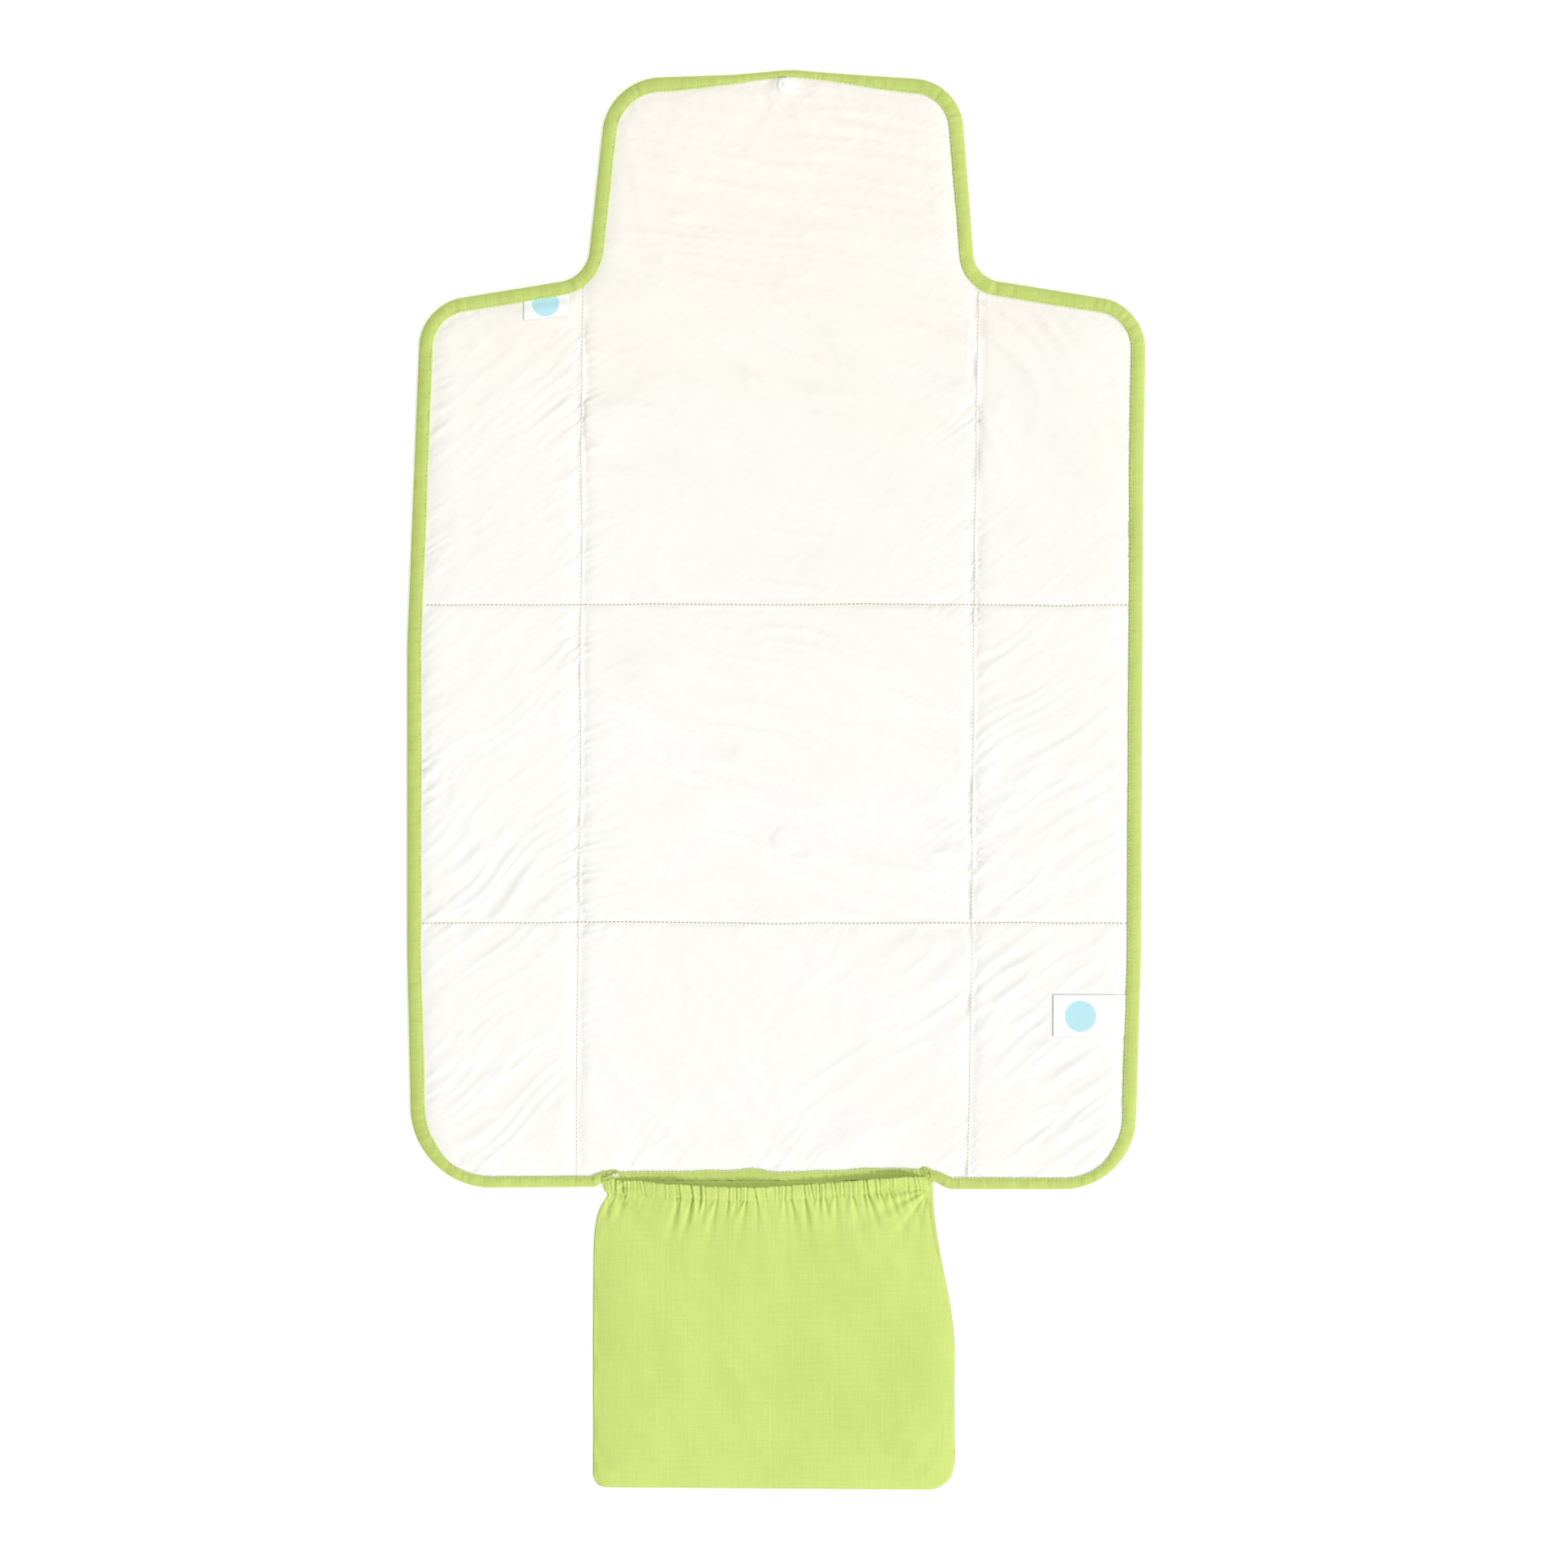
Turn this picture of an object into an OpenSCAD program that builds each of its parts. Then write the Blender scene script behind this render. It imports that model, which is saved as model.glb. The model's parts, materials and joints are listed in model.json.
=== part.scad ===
/* [Mat] */
// Distance of the left side from the centre line
side_left = 273; // [265:1:280]
// Distance of the right side from the centre line
side_right = 272; // [265:1:280]
// Y of the bottom edge
bottom_y = -302.5; // [-306:0.5:-300]
// Y of the short edge that carries the pouch
hinge_edge_y = -296; // [-298:0.5:-294]
// Y of the shoulder line where it would meet the flap
shoulder_y = 370; // [365:1:375]
// Rise of the shoulders per millimetre towards the centre
shoulder_slope = 0.162; // [0.1:0.01:0.2]
// Thickness of the quilted mat
pad_t = 4; // [3.5:0.1:4.5]
// Thickness of each cloth
cloth_t = 0.4; // [0.3:0.1:0.5]
// Width of the bias binding
binding_w = 10; // [8:0.5:11]
// Width of the binding along the top edge of the flap
flap_binding_w = 4.6; // [4:0.1:4.8]

/* [Folds] */
// Distance of each lengthwise fold from the centre line
wing_fold_x = 145; // [144:1:150]
// Y of the upper crosswise fold
top_fold_y = 130; // [120:1:135]
// Y of the lower crosswise fold
bottom_fold_y = -105; // [-110:1:-95]
// Free height between folded layers
layer_gap = 1; // [0.8:0.1:1.2]
// Clearance between neighbouring bodies
gap = 0.3; // [0.2:0.05:0.4]

/* [Flap] */
// Y of the highest point of the flap's edge
flap_top_y = 524.4; // [515:0.1:526]
// Half width of the flap at its root
flap_half = 140; // [136:1:142]
// Distance from the shoulder line to the flap's fold
flap_neck = 39; // [36:1:42]

/* [Pouch] */
// Y of the pouch's closed end
pouch_end_y = -524.5; // [-526:0.5:-515]
// Thickness of the pouch
pouch_t = 7; // [6.8:0.1:7.5]
// Height of the gathered casing at the mouth
casing_h = 13; // [11:1:15]

/* [Snap] */
// X of the snap
snap_x = 6; // [0:1:12]
// Y of the snap's stud on the flap
snap_y = 513.8; // [510:0.1:513.8]
// Radius of the snap
snap_r = 5.4; // [5:0.1:6]
// Free height between the snapped flap and the mat's back
snap_gap = 2.5; // [2.3:0.1:2.7]

/* [Hidden] */
WINGS = ["left", "right"];

cream = "#fbf7ec";
green = "#8fbf3f";
far = 900;
stack_h = 2 * pad_t + layer_gap;
strip_t = 1;
bottom_strip_w = 2 * stack_h + layer_gap;
top_strip_w = bottom_strip_w + gap + pouch_t + layer_gap + stack_h;
flap_fold_y = shoulder_y + flap_neck;
// Y of the stud once the flap has wrapped round the folded mat
socket_y = 2 * (top_fold_y - flap_fold_y) + snap_y;

// The five rows between the crosswise folds, each from its lower crease to its upper one
BOTTOM = [-far, bottom_fold_y - bottom_strip_w / 2];
BOTTOM_STRIP = [bottom_fold_y - bottom_strip_w / 2, bottom_fold_y + bottom_strip_w / 2];
MID = [bottom_fold_y + bottom_strip_w / 2, top_fold_y - top_strip_w / 2];
TOP_STRIP = [top_fold_y - top_strip_w / 2, top_fold_y + top_strip_w / 2];
TOP = [top_fold_y + top_strip_w / 2, far];

// Corners of the mat's edge, counter-clockwise from the lower left, each as [x, y, radius]
mat_corners = [
    [-side_left + 3.5, bottom_y, 54],
    [-137, bottom_y, 8], [-128, hinge_edge_y, 8], [124, hinge_edge_y, 8], [133, bottom_y, 8],
    [side_right - 7.5, bottom_y, 54],
    [side_right - 2, -130, 300], [side_right, shoulder_y - shoulder_slope * (side_right - flap_half), 38],
    [flap_half, shoulder_y, 22], [134, flap_top_y - 4.2, 34], [10, flap_top_y, 300],
    [-124.5, flap_top_y - 4.2, 46], [-flap_half, shoulder_y, 22],
    [-side_left + 9, shoulder_y - shoulder_slope * (side_left - 9 - flap_half), 38],
    [-side_left, 100, 300], [-side_left, -130, 300]
];
// Edge of the binding's inner side, which runs closer to the edge above the snap
function inner_corners() = [
    for (c = inset(mat_corners, binding_w))
        c[1] > snap_y - 2 * snap_r ? [c[0], c[1] + binding_w - flap_binding_w, c[2]] : c
];
pouch_left = -135.6;
pouch_right = 130.8;
pouch_top_y = hinge_edge_y - gap;
mouth_y = bottom_y - 0.5;
pouch_corners = [
    [pouch_left, pouch_end_y + 1, 9], [pouch_right, pouch_end_y, 20], [pouch_right, -316, 20],
    [118, pouch_top_y, 3], [-125, pouch_top_y, 3], [pouch_left, -318, 20]
];
pouch_wall = 1.2;
casing_t = 1.6;

function unit(v) = v / norm(v);
function at(list, i) = list[(i + len(list)) % len(list)];
function side_of(c, i) = unit([at(c, i + 1)[0] - c[i][0], at(c, i + 1)[1] - c[i][1]]);
function before(c, i) = unit([c[i][0] - at(c, i - 1)[0], c[i][1] - at(c, i - 1)[1]]);
function normal(v) = [-v[1], v[0]];
function turn(c, i) = cross(before(c, i), side_of(c, i));
// Moves every side of an outline inwards by d, so that the corner radii shrink or grow with it
function inset(c, d) = [
    for (i = [0 : len(c) - 1])
        let (a = normal(before(c, i)), b = normal(side_of(c, i)))
        let (shift = d * (a + b) / (1 + a * b))
        [c[i][0] + shift[0], c[i][1] + shift[1], max(0.5, c[i][2] - sign(turn(c, i)) * d)]
];
// Replaces each corner by an arc of its radius
function rounded(c) = [
    for (i = [0 : len(c) - 1])
        let (u = before(c, i), v = side_of(c, i), angle = atan2(cross(u, v), u * v))
        let (reach = c[i][2] * tan(abs(angle) / 2), side = sign(angle))
        let (start = [c[i][0], c[i][1]] - reach * u, centre = start + side * c[i][2] * normal(u))
        let (steps = max(1, ceil(abs(angle) / 12)))
        for (k = [0 : steps])
            let (a = angle * k / steps, r = start - centre)
            centre + [r[0] * cos(a) - r[1] * sin(a), r[0] * sin(a) + r[1] * cos(a)]
];

module slab(corners, z0, z1) {
    translate([0, 0, z0]) linear_extrude(z1 - z0) polygon(rounded(corners));
}

module binding_slab() {
    difference() {
        slab(mat_corners, 0, pad_t);
        slab(inner_corners(), -1, pad_t + 1);
    }
}

// Space of a centre piece in one row: its ends lean back at 45 degrees from the creases at z = 0
module centre_space(row) {
    reach = pad_t + 1;
    rotate([90, 0, 90]) translate([0, 0, -wing_fold_x + gap / 2])
        linear_extrude(2 * wing_fold_x - gap)
            polygon([
                [row[0] - 1 + gap / 2, -1], [row[1] + 1 - gap / 2, -1],
                [row[1] - reach - gap / 2, reach], [row[0] + reach + gap / 2, reach]
            ]);
}

// Space of a side piece in one row: it folds over the centre piece, so its ends lean the other way
module wing_space(row, wing) {
    low = stack_h + 1 + gap / 2;
    high = stack_h - pad_t - 1 + gap / 2;
    x0 = wing == "left" ? -far : wing_fold_x + gap / 2;
    rotate([90, 0, 90]) translate([0, 0, x0])
        linear_extrude(far - wing_fold_x - gap / 2)
            polygon([
                [row[0] + low, -1], [row[1] - low, -1],
                [row[1] - high, pad_t + 1], [row[0] + high, pad_t + 1]
            ]);
}

module below_flap_fold() {
    translate([-far / 2, -far, -1]) cube([far, far + flap_fold_y - gap / 2, pad_t + 2]);
}

module above_flap_fold() {
    translate([-far / 2, flap_fold_y + gap / 2, -1]) cube([far, far, pad_t + 2]);
}

module row_space(row, wing) {
    if (wing == "centre" && row == TOP) intersection() { centre_space(row); below_flap_fold(); }
    else if (wing == "centre") centre_space(row);
    else wing_space(row, wing);
}

module face_layer() { slab(inner_corners(), pad_t - cloth_t, pad_t); }
module wadding_layer() { slab(inner_corners(), cloth_t, pad_t - cloth_t); }
module backing_layer() { slab(inner_corners(), 0, cloth_t); }

module face_cloth(row, wing) { color(cream) intersection() { face_layer(); row_space(row, wing); } }
module wadding(row, wing) { color("white") intersection() { wadding_layer(); row_space(row, wing); } }
module backing(row, wing) { color(green) intersection() { backing_layer(); row_space(row, wing); } }
module binding(row, wing) { color(green) intersection() { binding_slab(); row_space(row, wing); } }

// Whole thickness of the mat between the two creases of a crosswise fold
module fold_strip(row) { color(cream) intersection() { slab(mat_corners, 0, pad_t); row_space(row, "centre"); } }

// At the sides only the face cloth bridges a crosswise fold
module wing_fold_strip(row, wing) {
    color(cream) intersection() { slab(mat_corners, pad_t - strip_t, pad_t); row_space(row, wing); }
}

// Straight round hole or post at the stud or at the socket
module post(y, r, z0, z1) { translate([snap_x, y, z0]) cylinder(r = r, h = z1 - z0, $fn = 48); }

cap_t = 0.8;
shank_r = 1.2;
stud_r = 2;
fit_gap = 0.1;
socket_t = 1.6;

module mid_wadding() {
    difference() {
        wadding(MID, "centre");
        post(socket_y, snap_r + fit_gap, -1, socket_t + cap_t);
    }
}

module mid_backing() {
    difference() {
        backing(MID, "centre");
        post(socket_y, snap_r + fit_gap, -1, 1);
    }
}

module flap_face_cloth() {
    color(cream) difference() {
        intersection() { face_layer(); above_flap_fold(); }
        post(snap_y, shank_r + fit_gap, -1, pad_t + 1);
    }
}

module flap_wadding() {
    color("white") difference() {
        intersection() { wadding_layer(); above_flap_fold(); }
        post(snap_y, shank_r + fit_gap, -1, pad_t);
        post(snap_y, snap_r + fit_gap, -1, cap_t);
    }
}

module flap_backing() {
    color(green) difference() {
        intersection() { backing_layer(); above_flap_fold(); }
        post(snap_y, snap_r + fit_gap, -1, 1);
    }
}

module flap_binding() { color(green) intersection() { binding_slab(); above_flap_fold(); } }

module snap_stud() {
    color("white") {
        post(snap_y, snap_r, pad_t, pad_t + 1);
        post(snap_y, stud_r, pad_t + 1, pad_t + snap_gap + 1.1);
        post(snap_y, shank_r, cap_t, pad_t);
    }
}

module snap_stud_cap() { color("white") post(snap_y, snap_r, 0, cap_t); }

module snap_socket() {
    color("white") difference() {
        post(socket_y, snap_r, 0, socket_t);
        post(socket_y, stud_r + 0.4, -1, socket_t + 1);
    }
}

module snap_socket_cap() { color("white") post(socket_y, snap_r, socket_t, socket_t + cap_t); }

// Front wall of the pouch: a shallow tray open at the mouth, with a casing that holds the elastic
module pouch_front() {
    color(green) difference() {
        intersection() {
            slab(pouch_corners, cloth_t, pouch_t);
            translate([-far / 2, mouth_y - far, -1]) cube([far, far, pouch_t + 2]);
        }
        intersection() {
            slab(inset(pouch_corners, pouch_wall), cloth_t - 1, pouch_t - 0.6);
            translate([-far / 2, mouth_y - casing_h - far, -1]) cube([far, far, pouch_t + 2]);
        }
        intersection() {
            slab(inset(pouch_corners, pouch_wall), cloth_t - 1, pouch_t - casing_t);
            translate([-far / 2, mouth_y - casing_h - 1, -1]) cube([far, far, pouch_t + 2]);
        }
        elastic_space(0);
    }
}

module elastic_space(clear) {
    translate([-120 + clear, mouth_y - casing_h + 3 + clear, pouch_t - 1.3 + clear])
        cube([233 - 2 * clear, 8 - 2 * clear, 1 - 2 * clear]);
}

module pouch_back() { color("#7fae38") slab(pouch_corners, 0, cloth_t); }
module pouch_elastic() { color("white") elastic_space(0.05); }

module shoulder_label() {
    color("white") translate([-187, 342, pad_t]) cube([33, 18, 0.5]);
}

module side_label() {
    color("white") translate([204, -189, pad_t]) cube([57, 31, 0.5]);
}

face_cloth(MID, "centre");  // mid_face_cloth
mid_wadding();
mid_backing();
face_cloth(TOP, "centre");  // top_face_cloth
wadding(TOP, "centre");  // top_wadding
backing(TOP, "centre");  // top_backing
face_cloth(BOTTOM, "centre");  // bottom_face_cloth
wadding(BOTTOM, "centre");  // bottom_wadding
backing(BOTTOM, "centre");  // bottom_backing
binding(BOTTOM, "centre");  // bottom_binding
binding(TOP, "centre");  // neck_binding
fold_strip(TOP_STRIP);  // top_fold_strip
fold_strip(BOTTOM_STRIP);  // bottom_fold_strip
for (wing = WINGS) {
    face_cloth(MID, wing);
    wadding(MID, wing);
    backing(MID, wing);
    binding(MID, wing);
    face_cloth(TOP, wing);
    wadding(TOP, wing);
    backing(TOP, wing);
    binding(TOP, wing);
    face_cloth(BOTTOM, wing);
    wadding(BOTTOM, wing);
    backing(BOTTOM, wing);
    binding(BOTTOM, wing);
    wing_fold_strip(TOP_STRIP, wing);
    wing_fold_strip(BOTTOM_STRIP, wing);
}
flap_face_cloth();
flap_wadding();
flap_backing();
flap_binding();
snap_stud();
snap_stud_cap();
snap_socket();
snap_socket_cap();
pouch_front();
pouch_back();
pouch_elastic();
shoulder_label();
side_label();
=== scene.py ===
"""A quilted changing mat, opened flat: green binding, a head flap with a snap, and a gathered pouch."""
import json
import math

import bpy
import numpy as np
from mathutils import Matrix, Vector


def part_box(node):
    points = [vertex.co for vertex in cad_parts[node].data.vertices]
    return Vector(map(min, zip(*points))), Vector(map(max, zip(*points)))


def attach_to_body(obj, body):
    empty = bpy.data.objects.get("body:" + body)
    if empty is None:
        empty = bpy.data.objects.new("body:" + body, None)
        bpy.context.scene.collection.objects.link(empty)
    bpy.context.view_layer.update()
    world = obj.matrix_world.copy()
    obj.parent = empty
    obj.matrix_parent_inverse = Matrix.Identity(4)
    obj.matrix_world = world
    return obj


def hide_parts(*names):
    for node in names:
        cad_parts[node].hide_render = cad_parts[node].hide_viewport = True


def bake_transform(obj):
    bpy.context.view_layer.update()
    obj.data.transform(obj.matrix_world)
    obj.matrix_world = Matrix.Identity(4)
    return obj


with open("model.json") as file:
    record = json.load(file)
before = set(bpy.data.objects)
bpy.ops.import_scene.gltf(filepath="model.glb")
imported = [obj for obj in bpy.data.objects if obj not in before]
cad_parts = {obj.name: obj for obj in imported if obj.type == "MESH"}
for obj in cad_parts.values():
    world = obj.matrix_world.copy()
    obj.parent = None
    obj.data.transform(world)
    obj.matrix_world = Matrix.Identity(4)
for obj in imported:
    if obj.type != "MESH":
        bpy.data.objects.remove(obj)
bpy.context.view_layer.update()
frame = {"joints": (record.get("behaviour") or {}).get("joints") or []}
MM = 0.001
JOINTS = {j["name"]: j for j in frame["joints"]}
SCENE = bpy.context.scene


# ---- sizes, from the frame

def joint_at(name):
    return np.array(JOINTS[name]["pos_m"])


FOLD_X = float(joint_at("right_wing_fold")[0])
LOWER_CREASES = [float(joint_at(n)[1]) for n in ("bottom_row_fold_lower", "bottom_row_fold")]
UPPER_CREASES = [float(joint_at(n)[1]) for n in ("top_row_fold", "top_row_fold_upper")]
LOWER_SEAM_Y = sum(LOWER_CREASES) / 2
UPPER_SEAM_Y = sum(UPPER_CREASES) / 2
FLAP_FOLD_Y = float(joint_at("flap_fold")[1])
POUCH_FOLD_Y = float(joint_at("pouch_fold")[1])
PAD_T = float(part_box("mid_face_cloth")[1][2])
BEND = 5 * MM
FLAP_BEND = (FLAP_FOLD_Y - 17 * MM, FLAP_FOLD_Y + 25 * MM)
MAT_LEFT = float(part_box("left_mid_binding")[0][0])
MAT_RIGHT = float(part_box("right_top_binding")[1][0])
MAT_BOTTOM = float(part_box("left_bottom_binding")[0][1])
MAT_TOP = float(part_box("flap_binding")[1][1])
BINDING_W = 10 * MM
STITCH = 3 * MM
GRID_X, GRID_Y = 2.6 * MM, 1.7 * MM

ROWS = ["bottom", "bottom_strip", "mid", "top_strip", "top"]
ROW_EDGES = [-1.0, *LOWER_CREASES, *UPPER_CREASES, 1.0]


# ---- plain helpers

def ease(t):
    return t * t * (3 - 2 * t)


def smooth(a, b, x):
    return ease(np.clip((x - a) / (b - a), 0, 1))


def fade(a_mm, b_mm, x):
    return smooth(a_mm * MM, b_mm * MM, x)


def bell(d, width_mm):
    return np.exp(-(d / (width_mm * MM)) ** 2)


def decay(d, reach_mm):
    return np.exp(-d / (reach_mm * MM))


def mixed(field, r, c, down, along):
    """Values inside the cells at row r and column c, so far down and along them."""
    low = field[r, c] * (1 - along) + field[r, c + 1] * along
    high = field[r + 1, c] * (1 - along) + field[r + 1, c + 1] * along
    return low * (1 - down) + high * down


class Noise:
    """Smooth seeded noise of one or two arguments, from about -1 to 1."""

    SIZE = 4096

    def __init__(self, seed):
        self.table = np.random.default_rng(seed).uniform(-1, 1, self.SIZE)

    def __call__(self, x, y=None):
        x = np.asarray(x, float)
        i = np.floor(x).astype(int)
        f = ease(x - i)
        if y is None:
            return self.table[i % self.SIZE] * (1 - f) + self.table[(i + 1) % self.SIZE] * f
        y = np.asarray(y, float)
        j = np.floor(y).astype(int)
        g = ease(y - j)

        low = self.at(i, j) * (1 - f) + self.at(i + 1, j) * f
        high = self.at(i, j + 1) * (1 - f) + self.at(i + 1, j + 1) * f
        return low * (1 - g) + high * g

    def at(self, i, j):
        return self.table[(i * 57 + j * 131 + (i * j) % 97) % self.SIZE]


def new_object(name, verts, faces, material, slot, smooth_shading=True):
    mesh = bpy.data.meshes.new(name)
    mesh.from_pydata([tuple(v) for v in verts], [], faces)
    mesh.materials.append(material)
    obj = bpy.data.objects.new(name, mesh)
    SCENE.collection.objects.link(obj)
    if smooth_shading:
        mesh.polygons.foreach_set("use_smooth", [True] * len(mesh.polygons))
    return obj


def grid_faces(rows, cols):
    """The faces of a grid of points."""
    first = [r * cols + c for r in range(rows - 1) for c in range(cols - 1)]
    return [(a, a + 1, a + 1 + cols, a + cols) for a in first]


def between(breaks, step):
    """Evenly spread values that include every break."""
    out = [breaks[0]]
    for a, b in zip(breaks, breaks[1:]):
        n = max(1, round((b - a) / step))
        out += [a + (b - a) * k / n for k in range(1, n + 1)]
    return np.array(out)


# ---- the mat's outline

FLAP_HALF = 140 * MM
SHOULDER_Y = 372.1 * MM
SLOPE = 0.162


def shoulder_at(x):
    return SHOULDER_Y - SLOPE * (abs(x) - FLAP_HALF)


# Corners counter-clockwise from the lower left. A corner is a base and an offset in millimetres for x,
# the same for y, and its radius in millimetres
CORNERS = [
    (MAT_LEFT, 3.8, MAT_BOTTOM, 1.1, 60), (0, -134, MAT_BOTTOM, 2.1, 9), (0, -127, POUCH_FOLD_Y, 0, 6),
    (0, 116, POUCH_FOLD_Y, 0, 6), (0, 127, MAT_BOTTOM, 0.5, 14), (MAT_RIGHT, -7.5, MAT_BOTTOM, 0.5, 54),
    (MAT_RIGHT, -2.4, 0, -130, 300), (MAT_RIGHT, -0.7, 0, 210, 300),
    (MAT_RIGHT, 1.3, shoulder_at(MAT_RIGHT), 0.8, 38), (0, 147, shoulder_at(147 * MM), 0.8, 22),
    (0, 135.7, MAT_TOP, -7.4, 38), (0, 54, MAT_TOP, -1.9, 60), (0, 10, MAT_TOP, 1.5, 70),
    (0, -32, MAT_TOP, -2.2, 60), (0, -124.5, MAT_TOP, -5.4, 44), (0, -140.3, shoulder_at(140.3 * MM), 0, 26),
    (MAT_LEFT, 10, shoulder_at(MAT_LEFT + 10 * MM), 0, 38), (MAT_LEFT, 0, 0, 100, 300),
    (MAT_LEFT, 0, 0, -130, 300),
]


def rounded(corners, step):
    """The outline as points about step apart, with an arc at each corner."""
    n = len(corners)
    points = []
    for i, (_, _, r) in enumerate(corners):
        p, a, b = (np.array(corners[k % n][:2]) for k in (i, i - 1, i + 1))
        u = (p - a) / np.linalg.norm(p - a)
        v = (b - p) / np.linalg.norm(b - p)
        angle = math.atan2(u[0] * v[1] - u[1] * v[0], u @ v)
        side = math.copysign(1, angle)
        start = p - u * r * math.tan(abs(angle) / 2)
        centre = start + side * r * np.array([-u[1], u[0]])
        count = max(1, math.ceil(abs(angle) * r / step))
        for k in range(count + 1):
            c, s = math.cos(angle * k / count), math.sin(angle * k / count)
            d = start - centre
            points.append(centre + np.array([c * d[0] - s * d[1], s * d[0] + c * d[1]]))
    out = []
    for a, b in zip(points, points[1:] + points[:1]):
        m = max(1, math.ceil(np.linalg.norm(b - a) / step - 1e-6))
        out += [a + (b - a) * k / m for k in range(m)]
    return np.array(out)


OUTLINE = rounded([(x + dx * MM, y + dy * MM, r * MM) for x, dx, y, dy, r in CORNERS], 1.3 * MM)


def edge_distance(x, y):
    """Distance from the mat's edge, positive inside."""
    x, y = np.asarray(x, float).ravel(), np.asarray(y, float).ravel()
    a, b = OUTLINE, np.roll(OUTLINE, -1, axis=0)
    best = np.full(x.shape, 1e9)
    inside = np.zeros(x.shape, bool)
    for (ax, ay), (bx, by) in zip(a, b):
        dx, dy = bx - ax, by - ay
        t = np.clip(((x - ax) * dx + (y - ay) * dy) / (dx * dx + dy * dy + 1e-18), 0, 1)
        best = np.minimum(best, (x - ax - t * dx) ** 2 + (y - ay - t * dy) ** 2)
        if ay != by:
            crosses = (ay > y) != (by > y)
            inside ^= crosses & (x < (bx - ax) * (y - ay) / (by - ay) + ax)
    return np.where(inside, 1, -1) * np.sqrt(best)


# ---- materials

class Paint:
    """One material while it is being built: its shader, and the nodes that feed it."""

    def __init__(self, name):
        self.material = bpy.data.materials.new(name)
        self.material.use_nodes = True
        self.tree = self.material.node_tree
        self.tree.nodes.clear()
        out = self.node("OutputMaterial")
        self.shader = self.node("BsdfPrincipled")
        self.link(self.shader.outputs[0], out.inputs["Surface"])

    def node(self, kind, **values):
        """A new node; values whose name is one of its inputs go there, the others are its settings."""
        n = self.tree.nodes.new("ShaderNode" + kind)
        for key, value in values.items():
            if key in n.inputs:
                n.inputs[key].default_value = value
            else:
                setattr(n, key, value)
        return n

    def link(self, output, socket):
        self.tree.links.new(output, socket)

    def finish(self, roughness, specular=None):
        self.give("Roughness", roughness)
        if specular is not None:
            self.give("Specular IOR Level", specular)
        return self.material

    def give(self, key, value):
        self.shader.inputs[key].default_value = value

    def object_place(self):
        return self.node("TexCoord").outputs["Object"]

    def scaled_place(self, scale):
        squeeze = self.node("Mapping", Scale=scale)
        self.link(self.object_place(), squeeze.inputs["Vector"])
        return squeeze.outputs[0]

    def noise(self, scale, stretch=(1, 1, 1), detail=2):
        """Noise in object space, drawn out along one direction."""
        noise = self.node("TexNoise", Scale=scale, Detail=detail)
        self.link(self.scaled_place(stretch), noise.inputs["Vector"])
        return noise.outputs["Fac"]

    def colour(self, factor, low, high, start=0.3, end=0.7):
        """Colours the surface from low to high as the factor goes from start to end."""
        ramp = self.node("ValToRGB")
        for element, position, tone in zip(ramp.color_ramp.elements, (start, end), (low, high)):
            element.position = position
            element.color = (*tone, 1)
        self.link(factor, ramp.inputs["Fac"])
        self.link(ramp.outputs["Color"], self.shader.inputs["Base Color"])

    def math(self, operation, a, b, c=None):
        """A sum on numbers, each from an output or given as it is."""
        n = self.node("Math", operation=operation)
        for socket, value in zip(n.inputs, (a, b, c)):
            if isinstance(value, bpy.types.NodeSocket):
                self.link(value, socket)
            elif value is not None:
                socket.default_value = value
        return n.outputs[0]

    def added(self, a, b, weight):
        return self.math("MULTIPLY_ADD", b, weight, a)

    def bump(self, height, distance, strength=1.0):
        b = self.node("Bump", Distance=distance, Strength=strength)
        self.link(height, b.inputs["Height"])
        self.link(b.outputs[0], self.shader.inputs["Normal"])


def cream_cloth():
    """Cream cotton, a little warmer towards the head."""
    paint = Paint("cream_cloth")
    crinkle = paint.noise(70, (1, 2.6, 1), 5)
    fine = paint.noise(900)
    broad = paint.noise(9, (1, 1.6, 1))
    place = paint.node("SeparateXYZ")
    paint.link(paint.object_place(), place.inputs[0])
    towards_head = paint.node("MapRange")
    for key, value in (("From Min", 0), ("From Max", 0.5), ("To Min", 0.43), ("To Max", -0.05)):
        towards_head.inputs[key].default_value = value
    paint.link(place.outputs["Y"], towards_head.inputs["Value"])
    tone = paint.added(towards_head.outputs[0], broad, 0.5)
    paint.colour(tone, (0.893, 0.868, 0.812), (0.903, 0.903, 0.885))
    paint.bump(paint.added(crinkle, fine, 0.15), 0.35 * MM, 0.5)
    return paint.finish(0.7, 0.15)


def weave(paint, pitch):
    """A plain weave: two sets of threads that take turns on top."""
    where = paint.object_place()
    waves = []
    for direction in ("X", "Y"):
        wave = paint.node("TexWave", Scale=0.314 / pitch, Distortion=1.2, Detail=1.0)
        wave.bands_direction = direction
        wave.inputs["Detail Scale"].default_value = 1.5
        paint.link(where, wave.inputs["Vector"])
        waves.append(wave.outputs["Fac"])
    return paint.math("MAXIMUM", *waves)


def cotton(name, low_share=1.0, high_share=1.0):
    """Green cotton with slubs, in a share of the full green; a share under one paints shade into the cloth.
    """
    paint = Paint(name)
    warp = paint.noise(700, (1, 0.06, 0.5))
    weft = paint.noise(700, (0.06, 1, 0.5))
    broad = paint.noise(14, detail=3)
    slubs = paint.added(warp, weft, 1.0)
    tone = paint.math("MULTIPLY", paint.added(broad, slubs, 0.5), 0.5)
    low = [c * low_share for c in GREEN_LOW]
    high = [c * high_share for c in GREEN_HIGH]
    paint.colour(tone, low, high)
    paint.bump(paint.added(slubs, weave(paint, 0.7 * MM), 0.5), 0.25 * MM, 0.8)
    paint.give("Sheen Weight", 0.06)
    paint.give("Sheen Roughness", 0.5)
    return paint.finish(0.85, 0.2)


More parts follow.
